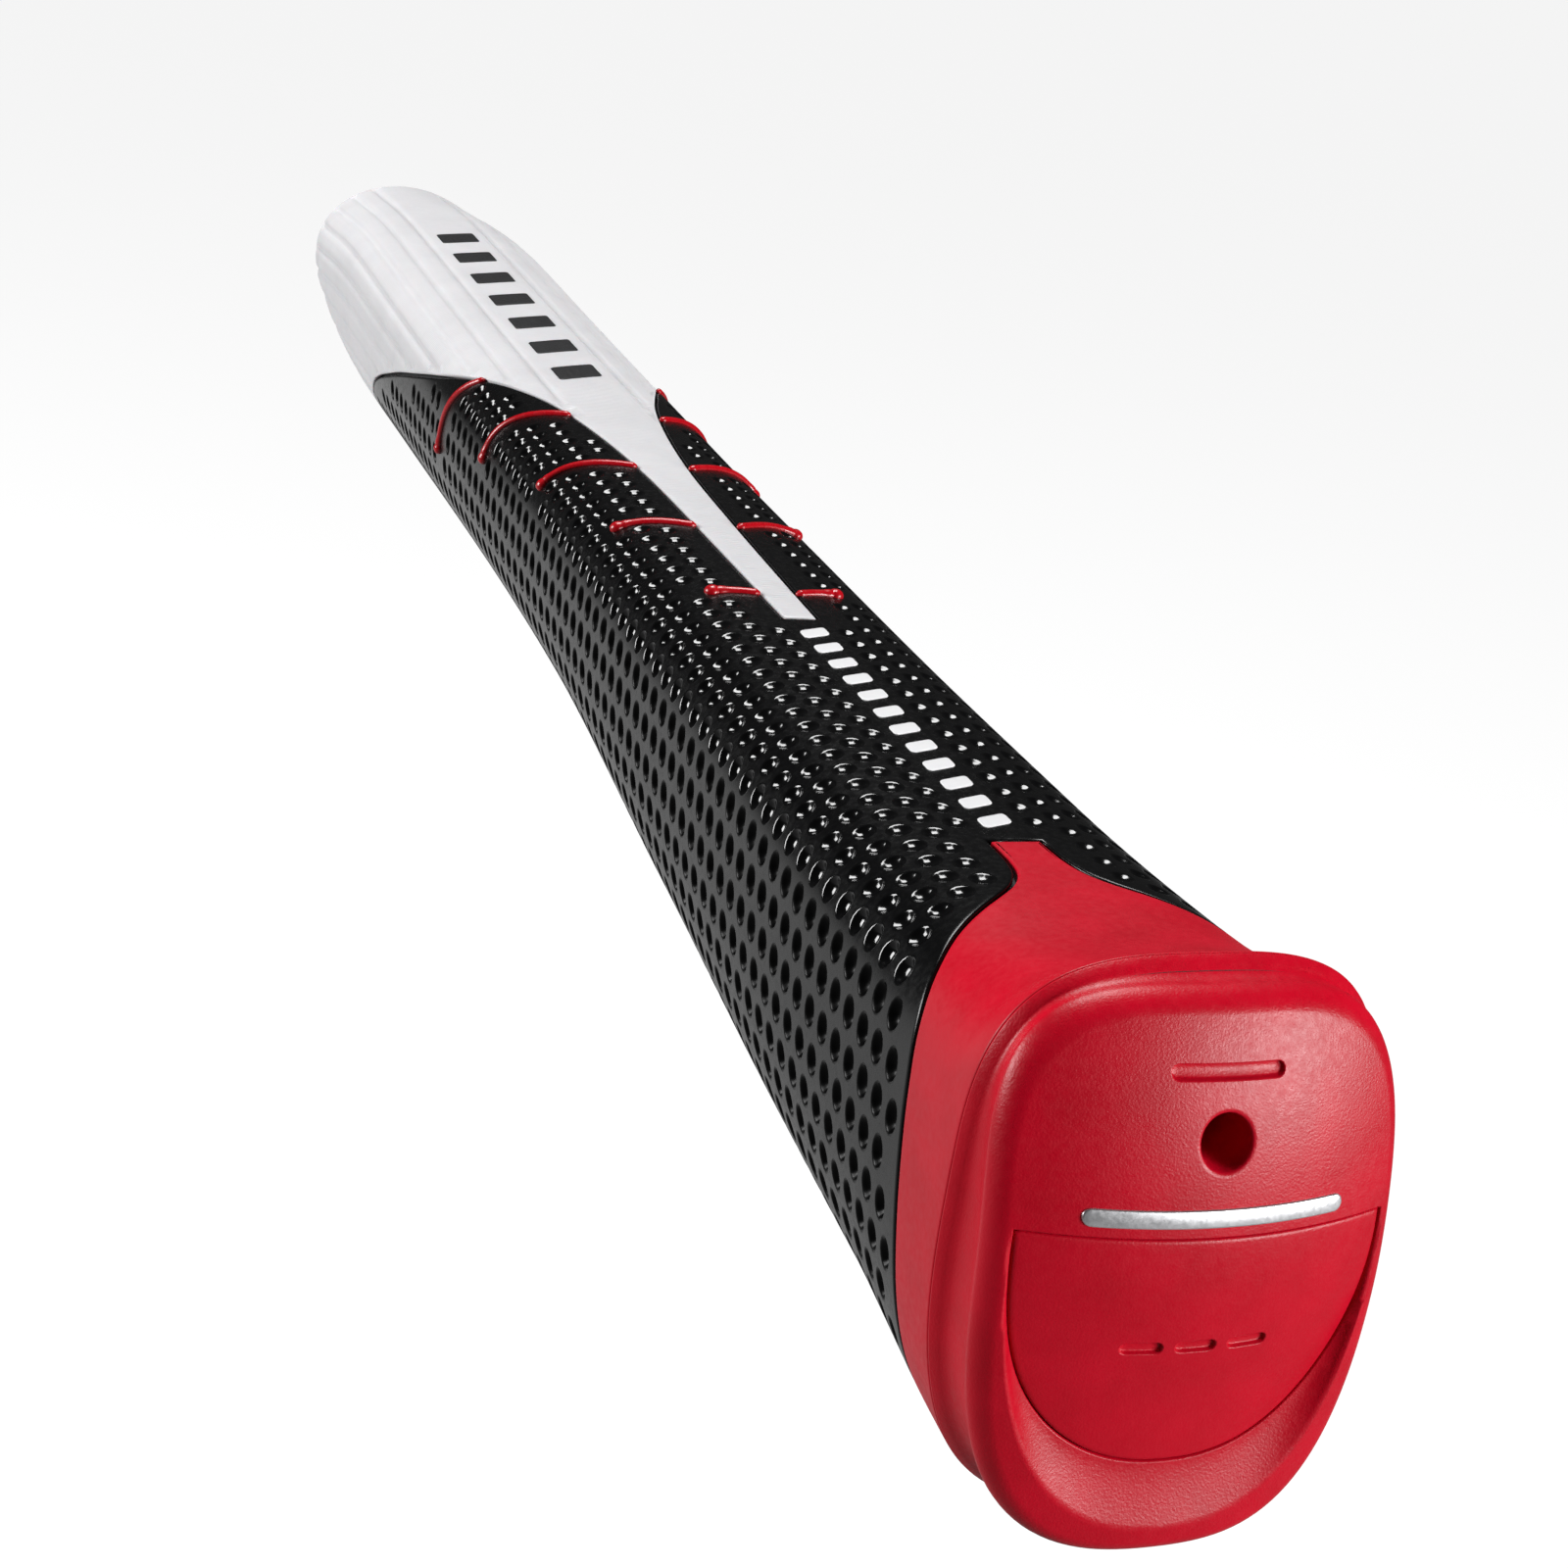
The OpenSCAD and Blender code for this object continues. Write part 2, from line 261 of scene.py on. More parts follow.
def beside_seam(y):
    """Where the skins end, on the right of the seam strip."""
    return SHEET.half_girth(y) - SEAM_HALF


def cut_at_seam(edge):
    """The part of a right-hand edge that stays clear of the seam strip."""
    kept = edge[edge[:, 0] < beside_seam(edge[:, 1]) - 0.3]
    y_end = kept[-1, 1]
    return np.vstack([kept, [beside_seam(y_end), y_end]])


def mirrored(edge):
    """A right-hand edge reversed and mirrored to the left."""
    return edge[::-1] * np.array([-1, 1])


def seam_side(y0, y1, step):
    """Places along the right side of the seam strip."""
    n = max(2, int(abs(y1 - y0) / step))
    y = np.linspace(y0, y1, n + 1)[1:-1]
    return np.stack([beside_seam(y), y], axis=1)


def inset(loop, d):
    """Moves a closed anticlockwise loop inwards by d."""
    before = loop - np.roll(loop, 1, axis=0)
    after = np.roll(loop, -1, axis=0) - loop
    n1 = np.stack([-before[:, 1], before[:, 0]], axis=1) / np.linalg.norm(before, axis=1)[:, None]
    n2 = np.stack([-after[:, 1], after[:, 0]], axis=1) / np.linalg.norm(after, axis=1)[:, None]
    mean = n1 + n2
    length = np.maximum(np.sum(mean * n1, axis=1), 0.5)
    return loop + d * mean / length[:, None]


def over_top(points, half, step):
    """A skin's edge from the left side of the seam over the top, where its tip is square, to the
    right side."""
    right = cut_at_seam(through(points, step))
    y = points[0][1]
    return np.vstack([mirrored(right), [[-half, y], [half, y]], right])


def black_outline(step):
    """Outline of the black skin, between the cap's skirt and the white skin."""
    low, high = over_top(SKIRT_EDGE, 0.6, step), over_top(WHITE_EDGE, 0.5, step)
    side = seam_side(low[-1, 1], high[-1, 1], step * 2)
    return np.vstack([low, side, high[::-1], mirrored(side)])


def white_outline(step):
    """Outline of the white skin, from its own edge to the mouth's collar."""
    low = over_top(WHITE_EDGE, 0.5, step)
    side = seam_side(low[-1, 1], RING_Y, step * 2)
    half = beside_seam(RING_Y)
    n = int(2 * half / step)
    end = np.stack([np.linspace(half, -half, n + 1), np.full(n + 1, RING_Y)], axis=1)
    return np.vstack([low, side, end, mirrored(side)])


# ---------------------------------------------------------------- meshes
def new_object(name, data):
    """An object in the scene, with a mesh, a light or a camera as its data."""
    made = bpy.data.objects.new(name, data)
    bpy.context.scene.collection.objects.link(made)
    return made


def add_piece(name, points, faces, material, replaces, normals=None):
    """A smooth mesh object from points in millimetres, riding on the grip's only body.
    Rows of normals that aren't numbers are left to Blender."""
    mesh = bpy.data.meshes.new(name)
    mesh.from_pydata((np.asarray(points, float) * MM).tolist(), [], faces)
    mesh.validate()
    shape = bmesh.new()
    shape.from_mesh(mesh)
    bmesh.ops.recalc_face_normals(shape, faces=shape.faces)
    shape.to_mesh(mesh)
    shape.free()
    mesh.polygons.foreach_set("use_smooth", [True] * len(mesh.polygons))
    mesh.update()
    if normals is not None:
        own = np.empty(3 * len(mesh.vertices))
        mesh.vertices.foreach_get("normal", own)
        own = own.reshape(-1, 3)
        known = ~np.isnan(normals[:, 0])
        own[known] = normals[known]
        mesh.normals_split_custom_set_from_vertices(own.tolist())
    mesh.materials.append(material)
    piece = new_object(name, mesh)
    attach(piece, BODY)
    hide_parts(*replaces)
    return piece


def bridge(a, b):
    """Quads between two closed rings of points, by their ids."""
    n = len(a)
    return [(a[i], a[(i + 1) % n], b[(i + 1) % n], b[i]) for i in range(n)]


def swept_piece(name, rings, material, replaces, capped=False, normals=None):
    """A piece through closed rings with the same number of points. Its ends are either capped
    or joined to each other."""
    n = len(rings[0])
    ids = [range(i * n, (i + 1) * n) for i in range(len(rings))]
    faces = []
    for a, b in zip(ids, ids[1:]):
        faces += bridge(a, b)
    if capped:
        faces += [tuple(ids[0]), tuple(ids[-1])]
    else:
        faces += bridge(ids[-1], ids[0])
    return add_piece(name, np.vstack(rings), faces, material, replaces, normals)


def inside_loop(points, loop):
    """Which of the points lie inside a closed loop."""
    inside = np.zeros(len(points), bool)
    x, y = points[:, 0], points[:, 1]
    for (x0, y0), (x1, y1) in zip(loop, np.roll(loop, -1, axis=0)):
        if y0 == y1:
            continue
        crossing = (y0 > y) != (y1 > y)
        inside ^= crossing & (x < (x1 - x0) * (y - y0) / (y1 - y0) + x0)
    return inside


def tree_of(points):
    """Search tree over places on a flat sheet."""
    tree = KDTree(len(points))
    for i, p in enumerate(points):
        tree.insert((p[0], p[1], 0), i)
    tree.balance()
    return tree


def distance_to_loop(points, loop):
    """Distance from each point to the nearest point of a densely sampled loop."""
    tree = tree_of(loop)
    return np.array([tree.find((p[0], p[1], 0))[2] for p in points])


def triangulate(loops, extra, lines=()):
    """Triangles inside the first loop, through every loop, open line and extra point. Returns
    flat points, triangles, and for each point that was given its index in the result."""
    points, edges = [], []
    for k, line in enumerate([*loops, *lines]):
        base, n = len(points), len(line)
        points += [Vector(p) for p in line]
        edges += [(base + i, base + (i + 1) % n) for i in range(n if k < len(loops) else n - 1)]
    points += [Vector(p) for p in extra]
    out, _, faces, origins, _, _ = delaunay_2d_cdt(points, edges, [], 1, 1e-6)
    source = {index: new for new, old in enumerate(origins) for index in old}
    return np.array([[p.x, p.y] for p in out]), np.array(faces), source


def dimple_rows():
    """Places of the rows of dimples on the right half, and the spacing there."""
    rows = []
    s = ROWS_FROM
    k = 0
    while s < ROWS_TO:
        ease = np.clip((k - 3) / 4.0, 0, 1)
        spacing = 2.15 + 1.1 * ease * ease * (3 - 2 * ease)
        rows.append((s, spacing, k))
        s += spacing
        k += 1
    return rows


def rib_path(n):
    """Middle line of the right-hand rib number n, counted from the butt end, as s and y."""
    y0 = RIB_START + (n - 1) * RIB_PITCH
    start_s = Curve([[y, s] for s, y in WHITE_EDGE])(y0) + 0.1
    row = SHEET.length[int(round(y0 + RIB_LEANS[n - 1] - SHEET.Y_LOW))]
    end_s = np.interp(math.radians(RIB_ENDS[n - 1]), SHEET.angles, row)
    t = np.linspace(0, 1, 70)
    return start_s + (end_s - start_s) * t, y0 + RIB_LEANS[n - 1] * np.sin(t * math.pi / 2)


def dimple_grid():
    """Centre, half sizes and depth of every dimple on the sheet."""
    found = []
    half_y = 0.29 * PITCH
    count = int((DIMPLES_TO - DIMPLES_FROM) / PITCH)
    for s, spacing, k in dimple_rows():
        ease = min(1.0, max(0.0, (k - 2) / 4.0))
        half_s = 0.355 * spacing
        depth = 0.3 + 0.32 * ease
        offset = 0.5 * PITCH * (k % 2)
        for i in range(count):
            y = DIMPLES_FROM + offset + i * PITCH
            found += [(s, y, half_s, half_y, depth), (-s, y, half_s, half_y, depth)]
    return np.array(found)


def clear_of_dimples(points, dimples, margin, share):
    """Which points lie outside their nearest dimple, widened by a margin and then by a share."""
    tree = tree_of(dimples)
    clear = []
    for p in points:
        _, i, _ = tree.find((p[0], p[1], 0))
        s, y, half_s, half_y, _ = dimples[i]
        away = math.hypot((p[0] - s) / (half_s + margin), (p[1] - y) / (half_y + margin))
        clear.append(away > share)
    return np.array(clear)


def loose_points(outline, rim, dimples, spacing, stretch):
    """Points that keep the triangles small where there are no dimples."""
    columns = int(np.abs(outline[:, 0]).max() / spacing)
    gs = np.arange(-columns, columns + 1) * spacing
    gy = np.arange(outline[:, 1].min(), outline[:, 1].max(), spacing * stretch)
    loose = np.stack(np.meshgrid(gs, gy), axis=-1).reshape(-1, 2)
    loose = loose[inside_loop(loose, rim)]
    loose = loose[distance_to_loop(loose, rim) > 0.5 * spacing]
    if len(dimples):
        loose = loose[clear_of_dimples(loose, dimples, DIMPLE_RINGS[0][0] + 0.25, 1.0)]
    return loose


def paint_bowls(piece, first_face, dimples, materials):
    """Gives the shallow dimples the first of two materials, and the deep ones the second, which is
    darkened as painted shade.
    """
    for material in materials:
        piece.data.materials.append(material)
    slots = np.zeros(len(piece.data.polygons), int)
    slots[first_face:] = 1 + np.repeat(dimples[:, 4] > DEEP, len(DIMPLE_RINGS) * SIDES)
    piece.data.polygons.foreach_set("material_index", slots)


def sheet_piece(name, outline, material, replaces, dimples=(), height=None, spacing=1.1,
                stretch=1.3, edge_round=0.16, bowl_materials=()):
    """A piece of skin over an outline on the sheet, with real dimples, rounded edges and a back."""
    first = DIMPLE_RINGS[0][0]
    rim = inset(outline, 0.34)
    angles = np.arange(SIDES) * 2 * math.pi / SIDES
    circle = np.stack([np.cos(angles), np.sin(angles)], axis=1)
    if len(dimples):
        outer = circle * (dimples[:, None, 2:4] + first + 0.06) + dimples[:, None, :2]
        inside = inside_loop(outer.reshape(-1, 2), rim).reshape(-1, SIDES)
        dimples = dimples[inside.all(axis=1)]
    loose = loose_points(outline, rim, dimples, spacing, stretch)
    bowls = [circle * (d[2:4] + first) + d[:2] for d in dimples]
    flat, faces, source = triangulate([rim] + bowls, loose)
    if len(dimples):
        faces = faces[clear_of_dimples(flat[faces].mean(axis=1), dimples, first, 0.97)]
    # Layers of places on the sheet with their depths, from the skin's front on
    layers = [(flat, -height(flat[:, 0]) if height else 0)]
    faces = [tuple(f) for f in faces.tolist()]
    count = len(flat)
    # Rounded edge, then the wall down to the back
    n = len(outline)
    previous = [source[i] for i in range(n)]
    for loop, depth in [(inset(outline, 0.13), edge_round * 0.08),
                        (inset(outline, 0.05), edge_round * 0.4), (outline, edge_round),
                        (outline, SKIN_T)]:
        ids = range(count, count + n)
        layers.append((loop, depth))
        faces += bridge(ids, previous)
        previous = ids
        count += n
    # Back face
    back_loose = loose[::7] if len(loose) > 400 else loose
    back, back_faces, back_source = triangulate([outline], back_loose)
    layers.append((back, SKIN_T))
    join = {back_source[i]: previous[i] for i in range(n)}
    for f in back_faces.tolist():
        faces.append(tuple(join.get(v, count + v) for v in reversed(f)))
    count += len(back)
    # Dimples
    plain_faces = len(faces)
    for j, d in enumerate(dimples):
        previous = [source[n + j * SIDES + i] for i in range(SIDES)]
        for out, share in DIMPLE_RINGS[1:]:
            ids = range(count, count + SIDES)
            layers.append((circle * (d[2:4] + out) + d[:2], share * d[4]))
            faces += bridge(previous, ids)
            previous = ids
            count += SIDES
        layers.append((d[None, :2], d[4]))
        faces += [(previous[i], previous[(i + 1) % SIDES], count) for i in range(SIDES)]
        count += 1
    depths = np.concatenate([np.broadcast_to(depth, len(places)) for places, depth in layers])
    points = on_sheet(np.vstack([places for places, _ in layers]), depths)
    normals = np.full(points.shape, np.nan)
    if not height:
        normals[:len(flat)] = surface_normal(flat[:, 0], flat[:, 1])
    piece = add_piece(name, points, faces, material, replaces, normals)
    if bowl_materials:
        paint_bowls(piece, plain_faces, dimples, bowl_materials)


# ---------------------------------------------------------------- materials
def nodes_of(material):
    tree = material.node_tree
    return tree, tree.nodes["Principled BSDF"]


def plain(name, colour, roughness, **sockets):
    """A principled material with its constants on the shader's own sockets."""
    material = bpy.data.materials.new(name)
    material.use_nodes = True
    _, shader = nodes_of(material)
    shader.inputs["Base Color"].default_value = (*colour, 1)
    shader.inputs["Roughness"].default_value = roughness
    for socket, value in sockets.items():
        shader.inputs[socket.replace("_", " ")].default_value = value
    return material


def texture_node(material, kind):
    """A texture in the object's own coordinates."""
    tree, _ = nodes_of(material)
    where = tree.nodes.new("ShaderNodeTexCoord")
    texture = tree.nodes.new(kind)
    tree.links.new(where.outputs["Object"], texture.inputs["Vector"])
    return texture


def noise(material, size, detail=3.0):
    """A noise texture whose blobs are about size millimetres across."""
    texture = texture_node(material, "ShaderNodeTexNoise")
    texture.inputs["Scale"].default_value = 1 / (size * MM)
    texture.inputs["Detail"].default_value = detail
    return texture.outputs["Fac"]


def bands(material, pitch):
    """Fine ribs across the grip, pitch millimetres apart."""
    texture = texture_node(material, "ShaderNodeTexWave")
    texture.bands_direction = "Y"
    texture.inputs["Scale"].default_value = math.pi / (10 * pitch * MM)
    texture.inputs["Distortion"].default_value = 0.6
    return texture.outputs["Fac"]


def add_bump(material, value, height):
    """Adds a bump of the given height in millimetres on top of any earlier one."""
    tree, shader = nodes_of(material)
    bump = tree.nodes.new("ShaderNodeBump")
    bump.inputs["Distance"].default_value = height * MM
    tree.links.new(value, bump.inputs["Height"])
    earlier = shader.inputs["Normal"].links
    if earlier:
        tree.links.new(earlier[0].from_socket, bump.inputs["Normal"])
    tree.links.new(bump.outputs["Normal"], shader.inputs["Normal"])


def vary(material, socket, value, low, high):
    """Drives a shader's socket between two values or colours by a texture."""
    tree, shader = nodes_of(material)
    ramp = tree.nodes.new("ShaderNodeValToRGB")
    for stop, position, colour in zip(ramp.color_ramp.elements, (0.3, 0.7), (low, high)):
        stop.position = position
        stop.color = (*colour, 1) if isinstance(colour, tuple) else (colour, colour, colour, 1)
    tree.links.new(value, ramp.inputs["Fac"])
    tree.links.new(ramp.outputs["Color"], shader.inputs[socket])


def worn(material, spots, low, high, grain, height, detail=3.0):
    """Varies the roughness in spots from low to high, and bumps the surface with grain. Spots,
    grain and its height are in millimetres."""
    vary(material, "Roughness", noise(material, spots), low, high)
    add_bump(material, noise(material, grain, detail), height)
    return material


def black_rubber():
    material = plain("black_rubber", (0.002, 0.002, 0.0022), 0.26, Specular_IOR_Level=0.3)
    return worn(material, 0.5, 0.2, 0.3, 0.2, 0.004, 4)


def bowl_rubber():
    """The skin inside the shallow dimples of the top, glossier and with hardly any grain."""
    material = plain("black_rubber_bowl", (0.002, 0.002, 0.0022), 0.13, Specular_IOR_Level=0.5)
    return worn(material, 1.5, 0.1, 0.17, 0.8, 0.001, 2)


def deep_bowl_painted_shade():
    """The skin inside the deep dimples of the sides, which hardly shine, in a darker copy of the black
    skin's colour: painted shade in the holes.
    """
    # Painted shade: a darker base colour than the rest of the black skin, so the deep dimples read as
    # shaded holes
    material = plain("black_rubber_deep_painted_shade", (0.0015, 0.0015, 0.0016), 0.3, Specular_IOR_Level=0.1)
    return worn(material, 1.5, 0.26, 0.36, 0.5, 0.002, 2)


def white_rubber():
    material = plain("white_rubber", (0.64, 0.635, 0.65), 0.45, Specular_IOR_Level=0.4,
                     Subsurface_Weight=0.06, Subsurface_Scale=0.001)
    vary(material, "Base Color", noise(material, 6), (0.58, 0.575, 0.59), (0.62, 0.615, 0.63))
    worn(material, 0.6, 0.4, 0.52, 0.15, 0.006)
    add_bump(material, bands(material, 0.55), 0.03)
    return material


def cap_red(name, roughness, grain):
    material = plain(name, (0.5, 0.001, 0.014), roughness, Specular_IOR_Level=0.25)
    vary(material, "Base Color", noise(material, 4), (0.46, 0.0008, 0.012), (0.54, 0.0012, 0.016))
    return worn(material, 0.5, roughness - 0.05, roughness + 0.06, 0.16, grain, 2)


def rib_red():
    material = plain("rib_red", (0.42, 0.0015, 0.007), 0.25, Specular_IOR_Level=0.5)
    return worn(material, 0.8, 0.22, 0.32, 0.5, 0.003)


def silver():
    material = plain("silver_paint", (0.72, 0.72, 0.74), 0.32, Metallic=0.85)
    return worn(material, 0.3, 0.28, 0.38, 0.4, 0.002)


def print_ink(name, colour):
    material = plain(name, colour, 0.4)
    return worn(material, 0.4, 0.33, 0.48, 0.2, 0.006)


def core_rubber():
    material = plain("core_rubber", (0.012, 0.012, 0.013), 0.6)
    return worn(material, 1.0, 0.5, 0.7, 0.5, 0.03)


def seam_rubber():
    material = plain("seam_rubber", (0.01, 0.01, 0.011), 0.42)
    return worn(material, 0.5, 0.36, 0.5, 0.3, 0.02, 4)


# ---------------------------------------------------------------- pieces of the wrap
def white_grooves(s):
    """Shallow grooves along the white skin, none of them under the printed bars."""
    from_middle = np.mod(np.abs(s), GROOVE_PITCH) - GROOVE_PITCH / 2
    groove = np.exp(-(from_middle / GROOVE_WIDTH) ** 2)
    return np.where(np.abs(s) > GROOVE_PITCH, -GROOVE_DEPTH * groove, 0)


def make_black_skin(material):
    outline = inset(black_outline(0.6), GAP)
    dimples = dimple_grid()
    paths = np.vstack([np.stack(rib_path(n), axis=1) for n in range(1, 6)])
    beside = distance_to_loop(np.abs(dimples[:, :2]), paths)
    dimples = dimples[beside > RIB_CLEAR]
    sheet_piece("black_skin_wrap", outline, material, ["black_skin"], dimples,
                bowl_materials=[bowl_rubber(), deep_bowl_painted_shade()])


def make_white_skin(material):
    outline = inset(white_outline(0.7), 0.02)
    sheet_piece("white_skin_wrap", outline, material, ["white_skin"],
                height=white_grooves, spacing=0.4, stretch=5, edge_round=0.22)


def make_back_seam(material, white):
    """Strip over the seam, with rounded sides and a fine groove down its middle. It is white on the
    white skin."""
    right = [(0.08, -0.08), (0.2, -0.12), (0.9, -0.11), (1.36, -0.09), (1.54, -0.05), (1.62, 0.02),
             (1.62, 0.4)]
    across = np.vstack([mirrored(np.array(right)), [[0, 0]], right])
    rings = []
    for y in np.arange(7.15, RING_Y - 0.05, 0.8):
        rings.append(place(SHEET.half_girth(y) + across[:, 0], y, across[:, 1]))
    piece = swept_piece("back_seam_strip", rings, material, ["back_seam"], capped=True)
    piece.data.materials.append(white)
    on_white = [face.center.y > WHITE_EDGE[-1][1] * MM for face in piece.data.polygons]
    piece.data.polygons.foreach_set("material_index", np.array(on_white, int))


def skirt_rear():
    """Right half of the skirt's rear edge, and the directions from it into the skirt."""
    edge = through(SKIRT_EDGE[:-1] + [(SHEET.half_girth(SKIRT_END), SKIRT_END)], 0.45)
    edge = np.vstack([[[0, TONGUE_END], [0.6, TONGUE_END], [1.2, TONGUE_END]], edge])
    along = np.gradient(edge, axis=0)
    inward = np.stack([along[:, 1], -along[:, 0]], axis=1)
    inward /= np.linalg.norm(inward, axis=1)[:, None]
    inward[0] = inward[-1] = (0, -1)
    return edge, inward


def make_cap_skirt(material):
    """Smooth skirt of the cap, rounded at the ridge and along its rear edge."""
    edge, inward = skirt_rear()
    rings, normals = [], []

    def add_ring(line, depth):
        both = np.vstack([line, mirrored(line)[1:-1]])
        rings.append(on_sheet(both, depth))
        known = surface_normal(both[:, 0], both[:, 1])
        normals.append(known if depth == 0 else np.full(known.shape, np.nan))

    def towards_ridge(start, y_end, t):
        """The line at share t of the way from a start line to the ridge."""
        share = start[:, 0] / SHEET.half_girth(start[:, 1])
        y = start[:, 1] + (y_end - start[:, 1]) * t
        s = share * SHEET.half_girth(y) * t + start[:, 0] * (1 - t)
        s[-1] = SHEET.half_girth(y[-1])
        return np.stack([s, y], axis=1)

    for d, depth in [(0, SKIN_T), (0, 0.14), (0.04, 0.06), (0.12, 0.015), (0.3, 0)]:
        add_ring(edge + d * inward, depth)
    rear = edge + 0.3 * inward
    # Columns must not cross where the edge turns round the tongue's corner
    for i in range(1, len(rear) - 1):
        rear[i, 0] = max(rear[i, 0], rear[i - 1, 0] + 0.005)
    rows = 40
    front_y = RIDGE_Y + 0.25
    for i in range(1, rows + 1):
        front = towards_ridge(rear, front_y, i / rows)
        add_ring(front, 0)
    share = front[:, 0] / SHEET.half_girth(front_y)
    for ahead, depth in [(0.12, 0.01), (0.04, 0.05), (0.01, 0.12), (0.01, SKIN_T)]:
        y = RIDGE_Y + ahead
        add_ring(np.stack([share * SHEET.half_girth(y), np.full(len(share), y)], axis=1), depth)
    inner_rows = 16
    for i in range(inner_rows - 1, 0, -1):
        add_ring(towards_ridge(edge, RIDGE_Y + 0.01, (i / inner_rows) ** 0.6), SKIN_T)
    swept_piece("cap_skirt_shell", rings, material, ["cap_skirt"],
                normals=np.vstack(normals))


# ---------------------------------------------------------------- the cap's face
CAP_DEPTH = 7.8
FACE_LEAN = 0.08
VENT_R = 1.7
VENT_Z = 5.6
RIM_HALF, RIM_TOP, RIM_UNDER = 13.85, 13.8, 22.3
PLATE_TOP = 0.0
PLATE_HALF = 12.5
PLATE_DEPTH = 16.2
PLATE_SQUARE = 0.84
PLATE_SUNK = 1.3
# The rim's rounding, inwards and backwards
ROUND_D, ROUND_H = 1.15, 1.3
# The bevel round the plate ends in a squared ellipse
BEVEL_HALF, BEVEL_DEPTH, BEVEL_POWER = 12.5, 20.2, 2.5


def face_y(x, z):
    """Front of the face, before the plate's recess."""
    fall = np.where(z > -6, 0.0105, 0.003)
    return -CAP_DEPTH + FACE_LEAN * z + 0.014 * x * x + fall * (z + 6) ** 2


def rim(angles, d=0.0):
    """Points of the face's outline, d inside it, as x and z."""
    upper = squared_ellipse(RIM_HALF - d, RIM_TOP - d, 3.4, angles)
    lower = squared_ellipse(RIM_HALF - d, RIM_UNDER - d, 3.2, angles)
    r = np.where(np.cos(angles) >= 0, upper, lower)
    return np.stack([r * np.sin(angles), r * np.cos(angles)], axis=1)


def plate_loop(gap):
    """Outline of the size plate, a straight top edge over a round bowl, as x and z."""
    a = np.linspace(math.pi, 2 * math.pi, 65)
    x = (PLATE_HALF - gap) * np.sign(np.cos(a)) * np.abs(np.cos(a)) ** PLATE_SQUARE
    z = PLATE_TOP - gap - (PLATE_DEPTH - 2 * gap) * np.abs(np.sin(a)) ** PLATE_SQUARE
    bowl = np.stack([x, z], axis=1)
    top_x = np.linspace(x[-1], x[0], 33)[1:-1]
    top = np.stack([top_x, np.full(len(top_x), PLATE_TOP - gap)], axis=1)
    return even_loop(np.vstack([bowl, top]), 0.42)


def plate_recess(z):
    """How far the plate lies below the face, which grows towards the bottom."""
    t = np.clip((PLATE_TOP - z) / PLATE_DEPTH, 0, 1)
    return 0.12 + PLATE_SUNK * t * t * (3 - 2 * t)


def bowl_share(x, z):
    """0 at the plate's edge and 1 at the outer edge of the bevel round it."""
    dx, dz = np.abs(x) + 1e-9, np.maximum(PLATE_TOP - z, 1e-9)
    power = 2 / PLATE_SQUARE
    inner = ((dx / PLATE_HALF) ** power + (dz / PLATE_DEPTH) ** power) ** (-1 / power)
    outer = ((dx / BEVEL_HALF) ** BEVEL_POWER + (dz / BEVEL_DEPTH) ** BEVEL_POWER) ** (-1 / BEVEL_POWER)
    return (1 - inner) / np.maximum(outer - inner, 0.02)


def bevel_recess(x, z):
    """Depth of the concave bevel between the plate and the rim."""
    t = np.clip(bowl_share(x, z), 0, 1)
    low = np.clip((PLATE_TOP - z) / 1.5, 0, 1)
    return low * plate_recess(z) * (1 - t ** 1.2)


def bevel_edge():
    """Crisp outer edge of the bevel, as x and z."""
    a = np.linspace(math.radians(14), math.radians(166), 90)
    x = BEVEL_HALF * np.sign(np.cos(a)) * np.abs(np.cos(a)) ** (2 / BEVEL_POWER)
    z = PLATE_TOP - BEVEL_DEPTH * np.sin(a) ** (2 / BEVEL_POWER)
    return np.stack([x, z], axis=1)


def filled(loops, spacing, lines=()):
    """Triangles inside the first loop and outside the others, through the open lines."""
    low, high = loops[0].min(axis=0), loops[0].max(axis=0)
    columns, rows = np.arange(low[0], high[0], spacing), np.arange(low[1], high[1], spacing)
    grid = np.stack(np.meshgrid(columns, rows), axis=-1).reshape(-1, 2)
    grid = grid[inside_loop(grid, loops[0])]
    for loop in loops[1:]:
        grid = grid[~inside_loop(grid, loop)]
    grid = grid[distance_to_loop(grid, np.vstack([*loops, *lines])) > spacing * 0.6]
    flat, faces, source = triangulate(loops, grid, lines)
    for loop in loops[1:]:
        faces = faces[~inside_loop(flat[faces].mean(axis=1), loop)]
    return flat, faces, source


